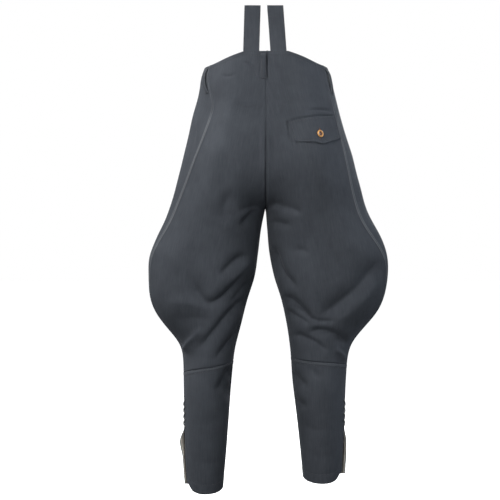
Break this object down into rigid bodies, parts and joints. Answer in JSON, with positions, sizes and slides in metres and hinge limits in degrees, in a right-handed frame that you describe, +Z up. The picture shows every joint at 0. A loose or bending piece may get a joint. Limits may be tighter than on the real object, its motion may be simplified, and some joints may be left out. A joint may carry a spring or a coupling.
{
  "type": "jodhpurs",
  "caption": "Flared riding breeches of dark twill, filled out as worn: wide wings at the thigh, narrow slit calves, back straps and a pointed pocket flap.",
  "frame": {"origin": "middle of the waist opening, at the height where the wearer holds the garment up", "axes": "+Z up along the wearer, +Y towards the seat at the back, +X towards the wearer's left"},
  "size_m": [0.5503, 0.27, 1.1032],
  "materials": {
    "twill": "close charcoal twill with a faint blue cast and a slight sheen",
    "facing": "plain pale cotton",
    "lace": "matt flat cord",
    "wood": "turned light wood, waxed"
  },
  "bodies": {
    "root": {"back_left": "twill", "front_left": "twill", "calf_back_left": "twill", "calf_front_left": "twill", "facing_left": "facing", "back_right": "twill", "front_right": "twill", "calf_back_right": "twill", "calf_front_right": "twill", "facing_right": "facing", "lace_left": "lace", "lace_right": "lace", "strap_left": "twill", "strap_right": "twill", "belt_loop_back": "twill", "belt_loop_left": "twill", "belt_loop_right": "twill", "pocket_flap": "twill", "pocket_button": "wood", "fly": "twill", "waist_button": "wood"}
  },
  "joints": []
}
